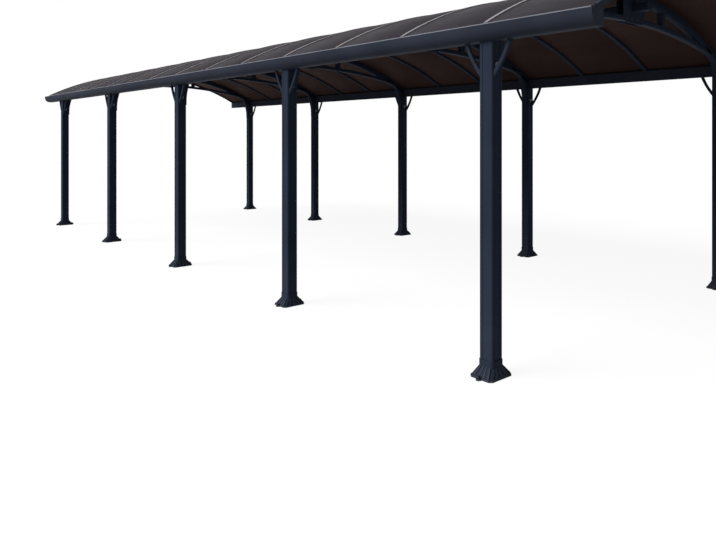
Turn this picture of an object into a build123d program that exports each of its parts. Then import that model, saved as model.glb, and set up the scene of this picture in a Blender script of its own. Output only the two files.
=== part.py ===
from build123d import *
import math
import os

# Carport with an arched roof. X runs along the carport, Y across it and Z up, in millimetres.
# The origin is on the ground under the middle of the roof, and the front row of posts is at -Y.

# Layout along the carport
PANEL_PITCH = 706.0  # from one roof rib to the next
PANELS_PER_BAY = 3  # from one pair of posts to the next
BAYS = 4
OVERHANG_PANELS = 1  # past the first and the last pair of posts

# Section across the carport
ROOF_WIDTH = 3620.0  # over the noses of the two gutters
POST_HEIGHT = 1980.0  # ground to the underside of the gutters
ROOF_RISE = 450.0  # edge of a sheet to its crown
SHEET_EDGE_HEIGHT = 92.0  # edge of a sheet above the underside of the gutter
SHEET_LAP = 45.0  # nose of the gutter to the edge of a sheet
SHEET_THICKNESS = 6.0
FIT = 0.3  # play left between curved faces

# Posts
POST_X = 98.0
POST_Y = 98.0
POST_WALL = 2.5
POST_CORNER = 7.0  # cut off each corner
POST_SETBACK = 65.0  # nose of the gutter to the outer face of a post

# Feet
FOOT_HEIGHT = 102.0
FOOT_PLATE = 12.0
FOOT_SKIRT = 66.0  # ground to the top of the flared skirt
FOOT_COLLAR = 4.0  # metal round the post, as a sleeve above the skirt
FOOT_FLARE_X = 24.0  # how far the skirt spreads at each end
FOOT_FLARE_Y = 48.0  # and on each side
FOOT_LIP = 5.0  # plate past the toe of the skirt
FOOT_NOTCH = 26.0
FOOT_RIB = 7.0
FOOT_RIB_PROUD = 2.5
FOOT_RIB_TOP_SHARE = 0.26  # spread of the fan ribs at the top, of the width of the post
FOOT_RIB_TOE_SHARE = 0.33  # and at the toe, of the width of the skirt
EAR_REACH = 14.0  # toe of the skirt to the anchor hole
EAR_MARGIN = 16.0  # anchor hole to the edge of an ear
EAR_CORNER = 10.0
ANCHOR_RADIUS = 5.5

# Gutters
GUTTER_WIDTH = 115.0
GUTTER_HEIGHT = 95.0
GUTTER_WALL = 3.0
GUTTER_NOSE = 70.0  # radius of the lower front
GUTTER_LIP = 10.0
END_CAP = 4.0

# Roof ribs, a T section whose flange carries a sheet on each side of its web
RIB_WEB = 8.0
RIB_FLANGE = 36.0
RIB_FLANGE_DEPTH = 22.0
RIB_WEB_PROUD = 5.0  # web above the top of the sheets
RIB_SETBACK = 22.0  # edge of a sheet to the end of a rib

# Trusses
TRUSS_X = 50.0
UPPER_CHORD = 45.0
LOWER_CHORD = 40.0
CROWN_GAP = 125.0  # between the chords at the crown
CHORDS_MEET = 1250.0  # from the middle to where the chords run together
WEB_PLACE = 510.0  # from the middle to a web
WEB_WIDTH = 56.0
CROWN_POST = 60.0
CROWN_JOINT = 4.0  # gap between the two halves of a truss
SPLICE_LENGTH = 330.0
SPLICE_THICKNESS = 4.0
SPLICE_CORNER = 45.0
SPLICE_DROP = 12.0  # below the lower chord

# Ridge beam, in lengths between the trusses
RIDGE_Y = 70.0
RIDGE_Z = 60.0
RIDGE_WALL = 3.0
RIDGE_STUB = 120.0  # past the first and the last truss

# Knee brackets
KNEE_DROP = 220.0  # below the underside of the gutter
KNEE_REACH = 95.0  # inwards from the post
KNEE_TOE = 12.0
KNEE_X = 60.0
KNEE_HOLLOW = 26.0

# Gutter braces
BRACE_DROP = 208.0
BRACE_REACH = 122.0  # from the side of the post
BRACE_FOOT = 38.0
BRACE_HEAD = 25.0
BRACE_Y = 20.0
BRACE_BOW = 9.0
BRACE_INSET = 12.0  # from the outer face of the post

# Lengths that follow
BAY = PANEL_PITCH * PANELS_PER_BAY
PANELS = BAYS * PANELS_PER_BAY + 2 * OVERHANG_PANELS
ROOF_LENGTH = PANELS * PANEL_PITCH
GUTTER_LENGTH = ROOF_LENGTH + RIB_WEB  # as far as the outer faces of the end bars
POST_PLACES = [(i - BAYS / 2) * BAY for i in range(BAYS + 1)]
RIB_PLACES = [(i - PANELS / 2) * PANEL_PITCH for i in range(1, PANELS)]
PANEL_PLACES = [(i - PANELS / 2 + 1 / 2) * PANEL_PITCH for i in range(PANELS)]

POST_OUTER = ROOF_WIDTH / 2 - POST_SETBACK
POST_INNER = POST_OUTER - POST_Y
POST_ROW = (POST_OUTER + POST_INNER) / 2
GUTTER_BACK = ROOF_WIDTH / 2 - GUTTER_WIDTH
GUTTER_TOP = POST_HEIGHT + GUTTER_HEIGHT

# Arch of the roof, by the underside of the sheets
SHEET_EDGE = ROOF_WIDTH / 2 - SHEET_LAP
ARCH_RADIUS = (SHEET_EDGE**2 + ROOF_RISE**2) / (2 * ROOF_RISE)
ARCH_CENTRE = POST_HEIGHT + SHEET_EDGE_HEIGHT + ROOF_RISE - ARCH_RADIUS
SHEET_ANGLE = math.degrees(math.asin(SHEET_EDGE / ARCH_RADIUS))
RIB_ANGLE = math.degrees(math.asin((SHEET_EDGE - RIB_SETBACK) / ARCH_RADIUS))
RIB_SEAT = ARCH_RADIUS - FIT
RIB_UNDERSIDE = RIB_SEAT - RIB_FLANGE_DEPTH
RIB_TOP = ARCH_RADIUS + SHEET_THICKNESS + RIB_WEB_PROUD
TRUSS_TOP = RIB_UNDERSIDE - FIT
TRUSS_UNDERSIDE = TRUSS_TOP - UPPER_CHORD
TRUSS_END = GUTTER_BACK - FIT


def arch_height(radius, y):
    """Height of an arch of this radius round the roof's own centre, y from the middle."""
    return ARCH_CENTRE + math.sqrt(radius**2 - y**2)


# Lower chord: its top meets the underside of the upper chord at CHORDS_MEET
LOWER_CROWN = ARCH_CENTRE + TRUSS_UNDERSIDE - CROWN_GAP
LOWER_RISE = LOWER_CROWN - arch_height(TRUSS_UNDERSIDE, CHORDS_MEET)
LOWER_RADIUS = (CHORDS_MEET**2 + LOWER_RISE**2) / (2 * LOWER_RISE)
LOWER_CENTRE = LOWER_CROWN - LOWER_RADIUS
GUTTER_BACK_TOP = arch_height(RIB_UNDERSIDE, GUTTER_BACK + GUTTER_WALL) - FIT
KNEE_HEAD = POST_INNER - KNEE_REACH

ACROSS = Plane.YZ  # sketches of the section across: first Y, then Z
ALONG = Plane.XZ  # sketches of the side: first X, then Z
ARCH_AXIS = Axis((0, 0, ARCH_CENTRE), (1, 0, 0))


def mirrored(shape):
    return mirror(shape, about=Plane.XZ)


def extruded_across(face, length):
    """A face drawn across the carport, extruded along it to both sides."""
    return extrude(ACROSS * face, amount=length / 2, both=True)


def at_places(shape, places):
    return [Pos(place, 0, 0) * shape for place in places]


def arch_bar(points, angle):
    """A bar whose section is drawn at the crown, first X and then radius, swung along the roof."""
    section = make_face(Polyline([(x, ARCH_CENTRE + radius) for x, radius in points], close=True))
    start = (ALONG * section).rotate(ARCH_AXIS, -angle)
    return revolve(start, axis=ARCH_AXIS, revolution_arc=2 * angle)


def post_outline(spread):
    """Outline of a post with its corners cut, moved out by the same spread on every side."""
    outline = Rectangle(POST_X + 2 * spread, POST_Y + 2 * spread)
    return chamfer(outline.vertices(), POST_CORNER + (2 - math.sqrt(2)) * spread)


def post():
    tube = extrude(post_outline(0) - post_outline(-POST_WALL), amount=POST_HEIGHT - FOOT_PLATE)
    return Pos(0, -POST_ROW, FOOT_PLATE) * tube


def skirt_side(top, toe):
    """One side of the skirt of a foot, by half its widths at the top and the toe."""
    corners = [(-toe, FOOT_PLATE), (toe, FOOT_PLATE), (top, FOOT_SKIRT), (-top, FOOT_SKIRT)]
    return make_face(Polyline(corners, close=True))


def fan_rib(top, toe, top_step, toe_step):
    """A rib down the +X side of a skirt, leaning from its step at the top to its step at the toe."""
    fall = FOOT_SKIRT - FOOT_PLATE
    lean = math.atan2(toe_step - top_step, fall)
    drop = fall / math.cos(lean)
    sunk = (fall + FOOT_PLATE / 2) / math.cos(lean)
    corners = [
        (top - FOOT_COLLAR, 0),
        (top + FOOT_RIB_PROUD, 0),
        (toe + FOOT_RIB_PROUD, -drop),
        (toe + FOOT_RIB_PROUD, -sunk),
        (top - FOOT_COLLAR, -sunk),
    ]
    rib = extrude(ALONG * make_face(Polyline(corners, close=True)), amount=FOOT_RIB / 2, both=True)
    return Pos(0, top_step, FOOT_SKIRT) * Rot(math.degrees(lean), 0, 0) * rib


def foot():
    top_x = POST_X / 2 + FOOT_COLLAR
    top_y = POST_Y / 2 + FOOT_COLLAR
    toe_x = top_x + FOOT_FLARE_X
    toe_y = top_y + FOOT_FLARE_Y
    body = extrude(ALONG * skirt_side(top_x, toe_x), amount=toe_y, both=True)
    body = body & extrude(ACROSS * skirt_side(top_y, toe_y), amount=toe_x, both=True)
    for step in (-1, 0, 1):
        top_step = step * FOOT_RIB_TOP_SHARE
        toe_step = 2 * step * FOOT_RIB_TOE_SHARE
        end_rib = fan_rib(top_x, toe_x, top_step * POST_Y, toe_step * toe_y)
        side_rib = fan_rib(top_y, toe_y, top_step * POST_X, toe_step * toe_x)
        for turn in (0, 180):
            body += Rot(0, 0, turn) * end_rib
            body += Rot(0, 0, turn + 90) * side_rib
    body += extrude(post_outline(FOOT_COLLAR), amount=FOOT_HEIGHT)
    hole_y = toe_y + EAR_REACH
    ears = Rectangle(2 * EAR_MARGIN, 2 * (hole_y + EAR_MARGIN))
    plate = Rectangle(2 * (toe_x + FOOT_LIP), 2 * (toe_y + FOOT_LIP))
    plate += chamfer(ears.vertices(), EAR_CORNER)
    for side in (-1, 1):
        plate -= Pos(0, side * hole_y) * Circle(ANCHOR_RADIUS)
    body += extrude(plate, amount=FOOT_PLATE)
    for side in (-1, 1):
        for end in (-1, 1):
            notch = Rot(0, 0, 45) * Box(FOOT_NOTCH, FOOT_NOTCH, 2 * FOOT_HEIGHT)
            body -= Pos(side * toe_x, end * toe_y, 0) * notch
    body -= Pos(0, 0, FOOT_PLATE) * extrude(post_outline(FIT), amount=FOOT_HEIGHT)
    return Pos(0, -POST_ROW, 0) * body


def gutter_outline(wall):
    """Corners and arcs of the gutter's outer skin, moved in by a wall; -Y is outwards here."""
    back = -GUTTER_BACK - wall
    front = -ROOF_WIDTH / 2 + wall
    floor = POST_HEIGHT + wall
    radius = GUTTER_NOSE - wall
    bend = (front + radius, floor + radius)
    middle = (bend[0] - radius / math.sqrt(2), bend[1] - radius / math.sqrt(2))
    return back, front, floor, bend, middle


def gutter_face():
    back, front, floor, bend, middle = gutter_outline(0)
    back_in, front_in, floor_in, bend_in, middle_in = gutter_outline(GUTTER_WALL)
    lip = front + GUTTER_LIP
    under_lip = GUTTER_TOP - GUTTER_WALL
    edges = [
        Line((back, GUTTER_BACK_TOP), (back, floor)),
        Line((back, floor), (bend[0], floor)),
        ThreePointArc((bend[0], floor), middle, (front, bend[1])),
        Line((front, bend[1]), (front, GUTTER_TOP)),
        Line((front, GUTTER_TOP), (lip, GUTTER_TOP)),
        Line((lip, GUTTER_TOP), (lip, under_lip)),
        Line((lip, under_lip), (front_in, under_lip)),
        Line((front_in, under_lip), (front_in, bend_in[1])),
        ThreePointArc((front_in, bend_in[1]), middle_in, (bend_in[0], floor_in)),
        Line((bend_in[0], floor_in), (back_in, floor_in)),
        Line((back_in, floor_in), (back_in, GUTTER_BACK_TOP)),
        Line((back_in, GUTTER_BACK_TOP), (back, GUTTER_BACK_TOP)),
    ]
    return make_face(edges)


def end_cap():
    back, front, floor, bend, middle = gutter_outline(0)
    edges = [
        Line((back, GUTTER_BACK_TOP), (back, floor)),
        Line((back, floor), (bend[0], floor)),
        ThreePointArc((bend[0], floor), middle, (front, bend[1])),
        Line((front, bend[1]), (front, GUTTER_TOP)),
        Line((front, GUTTER_TOP), (back, GUTTER_BACK_TOP)),
    ]
    return extruded_across(make_face(edges), END_CAP)


def arch_region(radius, centre):
    return Pos(0, centre) * Circle(radius)


def truss_half():
    start = CROWN_JOINT / 2
    span = TRUSS_END - start
    window = Pos(start + span / 2, GUTTER_TOP) * Rectangle(span, 2 * GUTTER_TOP)
    under_roof = arch_region(TRUSS_TOP, ARCH_CENTRE)
    upper = (under_roof - arch_region(TRUSS_UNDERSIDE, ARCH_CENTRE)) & window
    lower = arch_region(LOWER_RADIUS, LOWER_CENTRE)
    lower -= arch_region(LOWER_RADIUS - LOWER_CHORD, LOWER_CENTRE)
    lower = lower & window & under_roof
    face = upper + lower
    for middle, width in ((start + CROWN_POST / 2, CROWN_POST), (WEB_PLACE, WEB_WIDTH)):
        foot_z = LOWER_CENTRE + math.sqrt(LOWER_RADIUS**2 - middle**2) - LOWER_CHORD / 2
        head_z = arch_height(TRUSS_UNDERSIDE, middle) + UPPER_CHORD / 2
        face += Pos(middle, (foot_z + head_z) / 2) * Rectangle(width, head_z - foot_z)
    inside_end = arch_height(TRUSS_TOP, TRUSS_END) - UPPER_CHORD / 2
    inside_knee = arch_height(TRUSS_TOP, KNEE_HEAD) - UPPER_CHORD / 2
    end_block = Polyline(
        [
            (KNEE_HEAD, arch_height(TRUSS_UNDERSIDE, KNEE_HEAD)),
            (POST_INNER, POST_HEIGHT),
            (TRUSS_END, POST_HEIGHT),
            (TRUSS_END, inside_end),
            (KNEE_HEAD, inside_knee),
        ],
        close=True,
    )
    face += make_face(end_block)
    return extruded_across(face, TRUSS_X)


def splice_plate():
    top = ARCH_CENTRE + TRUSS_UNDERSIDE + UPPER_CHORD / 2
    bottom = LOWER_CROWN - LOWER_CHORD - SPLICE_DROP
    outline = Pos(0, (top + bottom) / 2) * Rectangle(SPLICE_LENGTH, top - bottom)
    face = chamfer(outline.vertices(), SPLICE_CORNER)
    return extruded_across(face, SPLICE_THICKNESS)


def knee_bracket():
    foot_z = POST_HEIGHT - KNEE_DROP
    head = (KNEE_HEAD, arch_height(TRUSS_UNDERSIDE, KNEE_HEAD))
    toe = (POST_INNER - KNEE_TOE, foot_z)
    edges = [
        Line((POST_INNER, foot_z), (POST_INNER, POST_HEIGHT)),
        Line((POST_INNER, POST_HEIGHT), head),
        SagittaArc(head, toe, KNEE_HOLLOW),
        Line(toe, (POST_INNER, foot_z)),
    ]
    return mirrored(extruded_across(make_face(edges), KNEE_X))


def gutter_brace():
    side = POST_X / 2
    low = POST_HEIGHT - BRACE_DROP
    reach = side + BRACE_REACH
    edges = [
        Line((side, low), (side, low + BRACE_FOOT)),
        SagittaArc((side, low + BRACE_FOOT), (reach - BRACE_HEAD, POST_HEIGHT), BRACE_BOW),
        Line((reach - BRACE_HEAD, POST_HEIGHT), (reach, POST_HEIGHT)),
        SagittaArc((reach, POST_HEIGHT), (side, low), -BRACE_BOW),
    ]
    strap = extrude(ALONG * make_face(edges), amount=BRACE_Y)
    return Pos(0, -POST_OUTER + BRACE_INSET + BRACE_Y, 0) * strap


def ridge_length(start, end):
    middle = ARCH_CENTRE + TRUSS_UNDERSIDE - CROWN_GAP / 2
    tube = Rectangle(RIDGE_Y, RIDGE_Z) - Rectangle(RIDGE_Y - 2 * RIDGE_WALL, RIDGE_Z - 2 * RIDGE_WALL)
    bar = extruded_across(Pos(0, middle) * tube, end - start)
    return Pos((start + end) / 2, 0, 0) * bar


def ridge_beam():
    face = TRUSS_X / 2 + SPLICE_THICKNESS
    starts = [POST_PLACES[0] - face - RIDGE_STUB] + [place + face for place in POST_PLACES]
    ends = [place - face for place in POST_PLACES] + [POST_PLACES[-1] + face + RIDGE_STUB]
    return [ridge_length(start, end) for start, end in zip(starts, ends)]


def roof_rib():
    half = [
        (RIB_FLANGE / 2, RIB_UNDERSIDE),
        (RIB_FLANGE / 2, RIB_SEAT),
        (RIB_WEB / 2, RIB_SEAT),
        (RIB_WEB / 2, RIB_TOP),
    ]
    return arch_bar(half + [(-x, radius) for x, radius in reversed(half)], RIB_ANGLE)


def end_bar():
    """Bar on the right-hand end of the roof; its flange carries the free edge of the last sheet."""
    points = [
        (-RIB_FLANGE / 2, RIB_UNDERSIDE),
        (RIB_WEB / 2, RIB_UNDERSIDE),
        (RIB_WEB / 2, RIB_TOP),
        (-RIB_WEB / 2, RIB_TOP),
        (-RIB_WEB / 2, RIB_SEAT),
        (-RIB_FLANGE / 2, RIB_SEAT),
    ]
    return Pos(ROOF_LENGTH / 2, 0, 0) * arch_bar(points, RIB_ANGLE)


def roof_panel():
    half = PANEL_PITCH / 2 - RIB_WEB / 2 - 2 * FIT
    points = [
        (-half, ARCH_RADIUS),
        (half, ARCH_RADIUS),
        (half, ARCH_RADIUS + SHEET_THICKNESS),
        (-half, ARCH_RADIUS + SHEET_THICKNESS),
    ]
    return arch_bar(points, SHEET_ANGLE)


def write(name, shapes):
    export_step(shapes[0] if len(shapes) == 1 else Compound(children=shapes), f"parts/{name}.step")


os.makedirs("parts", exist_ok=True)

front_post = post()
back_post = mirrored(front_post)
half_truss = truss_half()
for number, place in enumerate(POST_PLACES, start=1):
    write(f"front_post_{number}", [Pos(place, 0, 0) * front_post])
    write(f"back_post_{number}", [Pos(place, 0, 0) * back_post])
    write(f"truss_{number}", at_places(half_truss, [place]) + at_places(mirrored(half_truss), [place]))

front_foot = foot()
write("front_feet", at_places(front_foot, POST_PLACES))
write("back_feet", at_places(mirrored(front_foot), POST_PLACES))

front_knee = knee_bracket()
write("front_knee_brackets", at_places(front_knee, POST_PLACES))
write("back_knee_brackets", at_places(mirrored(front_knee), POST_PLACES))

right_brace = gutter_brace()
left_brace = mirror(right_brace, about=Plane.YZ)
front_braces = at_places(right_brace, POST_PLACES) + at_places(left_brace, POST_PLACES)
write("front_gutter_braces", front_braces)
write("back_gutter_braces", [mirrored(brace) for brace in front_braces])

front_gutter = extruded_across(gutter_face(), GUTTER_LENGTH)
write("front_gutter", [front_gutter])
write("back_gutter", [mirrored(front_gutter)])
CAP_PLACES = [side * (GUTTER_LENGTH + END_CAP) / 2 for side in (-1, 1)]
cap = end_cap()
write("gutter_end_caps", at_places(cap, CAP_PLACES) + at_places(mirrored(cap), CAP_PLACES))

SPLICE_SIDE = (TRUSS_X + SPLICE_THICKNESS) / 2
SPLICE_PLACES = [place + side * SPLICE_SIDE for place in POST_PLACES for side in (-1, 1)]
write("truss_splice_plates", at_places(splice_plate(), SPLICE_PLACES))
write("ridge_beam", ridge_beam())

write("roof_ribs", at_places(roof_rib(), RIB_PLACES))
right_bar = end_bar()
write("right_end_bar", [right_bar])
write("left_end_bar", [mirror(right_bar, about=Plane.YZ)])
panel = roof_panel()
for number, place in enumerate(PANEL_PLACES, start=1):
    write(f"roof_panel_{number:02d}", [Pos(place, 0, 0) * panel])
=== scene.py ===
# %% [markdown]
# # A long arched carport
# The carport is a kit of painted aluminium: ten posts on flared feet, two gutters that are also the eave
# beams, five arched trusses, and a barrel roof of tinted sheets between arched ribs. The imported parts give
# every place and size, so each piece below is modelled in the same frame, in metres, where its part stands.

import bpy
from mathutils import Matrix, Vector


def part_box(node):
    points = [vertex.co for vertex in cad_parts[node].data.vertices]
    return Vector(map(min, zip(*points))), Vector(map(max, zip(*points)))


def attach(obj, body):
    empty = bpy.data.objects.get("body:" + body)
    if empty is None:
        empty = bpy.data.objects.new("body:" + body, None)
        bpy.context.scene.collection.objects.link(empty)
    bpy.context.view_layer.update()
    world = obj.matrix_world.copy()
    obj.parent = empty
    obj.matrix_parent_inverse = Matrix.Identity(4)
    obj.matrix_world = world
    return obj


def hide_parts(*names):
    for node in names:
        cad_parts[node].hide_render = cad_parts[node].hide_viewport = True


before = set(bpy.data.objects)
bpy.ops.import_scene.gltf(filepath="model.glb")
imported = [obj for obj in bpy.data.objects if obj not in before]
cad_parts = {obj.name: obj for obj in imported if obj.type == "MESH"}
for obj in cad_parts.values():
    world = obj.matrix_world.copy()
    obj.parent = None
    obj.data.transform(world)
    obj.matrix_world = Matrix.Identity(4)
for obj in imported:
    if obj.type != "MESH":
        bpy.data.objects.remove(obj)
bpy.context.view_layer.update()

# %% [markdown]
# ## What the parts measure
# A model stays true when its sizes are read from one place. The boxes of a few parts give the five places
# along the carport, the two rows of posts, the eave and the arch of the roof. The arch is a circle: half its
# chord and its rise give the radius, and everything in the roof turns about the same centre.

# %% Measure the parts
import math

import bmesh
import bpy
from mathutils import Matrix, Vector

NUMBERS = range(1, 6)
post_low, post_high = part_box("front_post_3")
post_places = [sum(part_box(f"front_post_{n}"), Vector()).x / 2 for n in NUMBERS]
post_side = post_high.x - post_low.x
row = -(post_low.y + post_high.y) / 2
eave = post_high.z

SHEET_THICKNESS = 0.006
SHEET_HALF_SPAN = 1.765
sheet_low, sheet_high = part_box("roof_panel_01")
arch_rise = sheet_high.z - SHEET_THICKNESS - sheet_low.z
arch_radius = (SHEET_HALF_SPAN**2 + arch_rise**2) / (2 * arch_rise)
arch_centre = sheet_low.z + arch_rise - arch_radius
sheet_angle = math.asin(SHEET_HALF_SPAN / arch_radius)
print("row", round(row, 3), "eave", round(eave, 3), "arch radius", round(arch_radius, 3))

# %% [markdown]
# ## From a shape to a piece
# Every shape is drawn in a bmesh, Blender's editable mesh, as closed shells whose faces have to point outwards.
# Recalculating the normals makes neighbours agree, but on a ribbed casting it can settle on the wrong side. The
# volume is a sure test: added up over the faces of a shell, it comes out negative when they point inwards.

# %% Helpers for normals
def shells(bm):
    """The faces of bm, in groups that hang together."""
    groups, seen = [], set()
    for seed in bm.faces:
        if seed in seen:
            continue
        shell = {seed: None}
        fresh = [seed]
        while fresh:
            near = [other for face in fresh for edge in face.edges for other in edge.link_faces]
            fresh = [face for face in dict.fromkeys(near) if face not in shell]
            shell.update(dict.fromkeys(fresh))
        seen.update(shell)
        groups.append(list(shell))
    return groups


def face_outwards(bm):
    """Make neighbouring faces agree, and turn a shell round if its volume is negative."""
    bmesh.ops.recalc_face_normals(bm, faces=bm.faces)
    bm.normal_update()
    for shell in shells(bm):
        start = shell[0].calc_center_median()
        heights = [face.normal.dot(face.calc_center_median() - start) for face in shell]
        if sum(face.calc_area() * height for face, height in zip(shell, heights)) < 0:
            bmesh.ops.reverse_faces(bm, faces=shell)


# %% [markdown]
# One helper turns a finished shape into an object, keeps the round faces smooth and the folds sharp, and hides
# the parts that the piece stands for. Another puts copies of one shape into a larger mesh, because a kit is
# mostly the same thing many times over. A third makes what both rows of posts have.

# %% Helpers for pieces
MIRROR_ACROSS = Matrix.Scale(-1, 4, (0, 1, 0))


def make_piece(name, bm, finishes, slot, *nodes, crease=35):
    """Turn a finished bmesh into an object that stands for the named parts."""
    face_outwards(bm)
    mesh = bpy.data.meshes.new(name)
    bm.to_mesh(mesh)
    bm.free()
    mesh.shade_smooth()
    mesh.set_sharp_from_angle(angle=math.radians(crease))
    for finish in finishes:
        mesh.materials.append(finish)
    piece = bpy.data.objects.new(name, mesh)
    bpy.context.collection.objects.link(piece)
    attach(piece, "root")
    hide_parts(*nodes)
    print(name, len(mesh.polygons), "faces")
    return piece


def add_copies(bm, shape, moves=(Matrix(),)):
    """Put a copy of one finished shape into bm at each of the moves, or once where it stands."""
    pattern = bpy.data.meshes.new("pattern")
    shape.to_mesh(pattern)
    shape.free()
    for move in moves:
        first = len(bm.verts)
        bm.from_mesh(pattern)
        bm.verts.ensure_lookup_table()
        bmesh.ops.transform(bm, matrix=move, verts=bm.verts[first:])
    bpy.data.meshes.remove(pattern)


def make_rows(what, bm, finishes, slot, sides=("front", "back"), has_part=True):
    """Make the piece of one row and, as its mirror image, that of the other."""
    twin = bm.copy()
    bmesh.ops.transform(twin, matrix=MIRROR_ACROSS, verts=twin.verts)
    for side, shape in zip(sides, (bm, twin)):
        name = f"{side}_{what}"
        make_piece(name, shape, finishes, slot, *([name] if has_part else []))


# %% [markdown]
# ## The camera
# The photograph is taken from outside the near row of posts, past its right-hand end, with upright posts. A
# level camera keeps them upright, so the view isn't tilted: the horizon is moved up in the frame by the
# camera's shift instead. The focal length is kept in pixels, as it was measured, and turned into a lens.

# %% Set the camera
FRAME_WIDTH, FRAME_HEIGHT = 716, 540
FOCAL_PIXELS = 643.2
HORIZON_ROW = 135.3
EYE = (6.641, -4.768, 1.427)
HEADING = math.radians(49.73)
SENSOR_WIDTH = 36.0
FAR_CLIP = 900.0

lens = bpy.data.cameras.new("camera")
lens.sensor_width = SENSOR_WIDTH
lens.lens = FOCAL_PIXELS * SENSOR_WIDTH / FRAME_WIDTH
lens.shift_y = -(FRAME_HEIGHT / 2 - HORIZON_ROW) / FRAME_WIDTH
lens.clip_end = FAR_CLIP
camera = bpy.data.objects.new("camera", lens)
camera.location = EYE
camera.rotation_euler = (math.radians(90), 0, HEADING)
bpy.context.collection.objects.link(camera)
bpy.context.scene.camera = camera
bpy.context.scene.view_settings.view_transform = "Standard"
print("lens", round(lens.lens, 1), "mm, shift", round(lens.shift_y, 3))

# %% [markdown]
# ## Light and floor
# The photograph is a cut-out on white: the outer faces of the posts are lit and their end faces are dark. A
# broad sun from the front gives that, and the world adds a little from all round. The world is white only for
# what the camera sees directly, in a reflection or through a sheet.

# %% Light the scene
WORLD_LEVEL = 0.16
SUN_LEVEL = 2.7
SUN_SPREAD = math.radians(40)
SUN_TRAVEL = Vector((0.30, 0.80, -0.55))


def seen_directly(nodes, links):
    """A value of one for camera, glossy and transmission rays."""
    path = nodes.new("ShaderNodeLightPath")
    either = nodes.new("ShaderNodeMath")
    either.operation = "MAXIMUM"
    links.new(path.outputs["Is Camera Ray"], either.inputs[0])
    links.new(path.outputs["Is Glossy Ray"], either.inputs[1])
    any_of = nodes.new("ShaderNodeMath")
    any_of.operation = "MAXIMUM"
    links.new(either.outputs[0], any_of.inputs[0])
    links.new(path.outputs["Is Transmission Ray"], any_of.inputs[1])
    return any_of.outputs[0]


world = bpy.data.worlds.new("studio")
bpy.context.scene.world = world
world.use_nodes = True
nodes, links = world.node_tree.nodes, world.node_tree.links
dim = nodes["Background"]
dim.inputs["Strength"].default_value = WORLD_LEVEL
dim.inputs["Color"].default_value = (1, 1, 1, 1)
white = nodes.new("ShaderNodeBackground")
white.inputs["Color"].default_value = (1, 1, 1, 1)
either_world = nodes.new("ShaderNodeMixShader")
links.new(seen_directly(nodes, links), either_world.inputs["Fac"])
links.new(dim.outputs[0], either_world.inputs[1])
links.new(white.outputs[0], either_world.inputs[2])
links.new(either_world.outputs[0], nodes["World Output"].inputs["Surface"])

sun = bpy.data.lights.new("sun", "SUN")
sun.energy = SUN_LEVEL
sun.angle = SUN_SPREAD
sun_object = bpy.data.objects.new("sun", sun)
sun_object.rotation_euler = SUN_TRAVEL.to_track_quat("-Z", "Y").to_euler()
bpy.context.collection.objects.link(sun_object)
print("world", WORLD_LEVEL, "and sun", SUN_LEVEL)

# %% [markdown]
# The floor is white to the same rays as the world, so that it runs into the white behind it. It keeps a share
# of plain diffuse, and on that share the posts still stand in their own soft shadow.

# %% Lay the floor
FLOOR_SIZE = 500.0
FLOOR_TONE = 0.5
FLOOR_ROUGHNESS = 0.9
FLOOR_GLOW = 1.39
FLOOR_WHITE_SHARE = 0.65

floor_finish = bpy.data.materials.new("pale_floor")
floor_finish.use_nodes = True
nodes, links = floor_finish.node_tree.nodes, floor_finish.node_tree.links
paint = nodes["Principled BSDF"]
paint.inputs["Base Color"].default_value = (FLOOR_TONE, FLOOR_TONE, FLOOR_TONE, 1)
paint.inputs["Roughness"].default_value = FLOOR_ROUGHNESS
paint.inputs["Specular IOR Level"].default_value = 0.0
glow = nodes.new("ShaderNodeEmission")
glow.inputs["Strength"].default_value = FLOOR_GLOW
share = nodes.new("ShaderNodeMath")
share.operation = "MULTIPLY"
share.inputs[1].default_value = FLOOR_WHITE_SHARE
links.new(seen_directly(nodes, links), share.inputs[0])
both = nodes.new("ShaderNodeMixShader")
links.new(share.outputs[0], both.inputs["Fac"])
links.new(paint.outputs[0], both.inputs[1])
links.new(glow.outputs[0], both.inputs[2])
links.new(both.outputs[0], nodes["Material Output"].inputs["Surface"])

bm = bmesh.new()
bmesh.ops.create_grid(bm, x_segments=1, y_segments=1, size=FLOOR_SIZE / 2)
floor_mesh = bpy.data.meshes.new("floor")
bm.to_mesh(floor_mesh)
bm.free()
floor_mesh.materials.append(floor_finish)
floor = bpy.data.objects.new("floor", floor_mesh)
bpy.context.collection.objects.link(floor)
print("floor", FLOOR_SIZE, "m wide")

# %% [markdown]
# ## The powder coat
# The frame is aluminium with a baked powder coat in a dark blue grey. Such a coat is never one flat colour: it
# has a very fine orange peel, it is a little uneven in gloss, and rain leaves dust low down. The tone wanders
# between two close colours by a soft noise, a second noise moves the roughness, a fine one is the bump, and
# the height above the ground brings in the dust. All of it reads Object coordinates, so it stays on the metal.

# %% Helpers for a finish
def noise(nodes, links, scale, detail=3.0, stretch=(1, 1, 1)):
    """A noise on the object's own coordinates."""
    where = nodes.new("ShaderNodeTexCoord")
    turn = nodes.new("ShaderNodeMapping")
    turn.inputs["Scale"].default_value = stretch
    grain = nodes.new("ShaderNodeTexNoise")
    grain.inputs["Scale"].default_value = scale
    grain.inputs["Detail"].default_value = detail
    links.new(where.outputs["Object"], turn.inputs["Vector"])
    links.new(turn.outputs["Vector"], grain.inputs["Vector"])
    return grain.outputs["Fac"]


def ramp(nodes, links, factor, low, high, low_at=0.3, high_at=0.7):
    """Lead a factor from one colour to another."""
    band = nodes.new("ShaderNodeValToRGB")
    band.color_ramp.elements[0].position = low_at
    band.color_ramp.elements[0].color = (*low, 1)
    band.color_ramp.elements[1].position = high_at
    band.color_ramp.elements[1].color = (*high, 1)
    links.new(factor, band.inputs["Fac"])
    return band.outputs["Color"]


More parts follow.
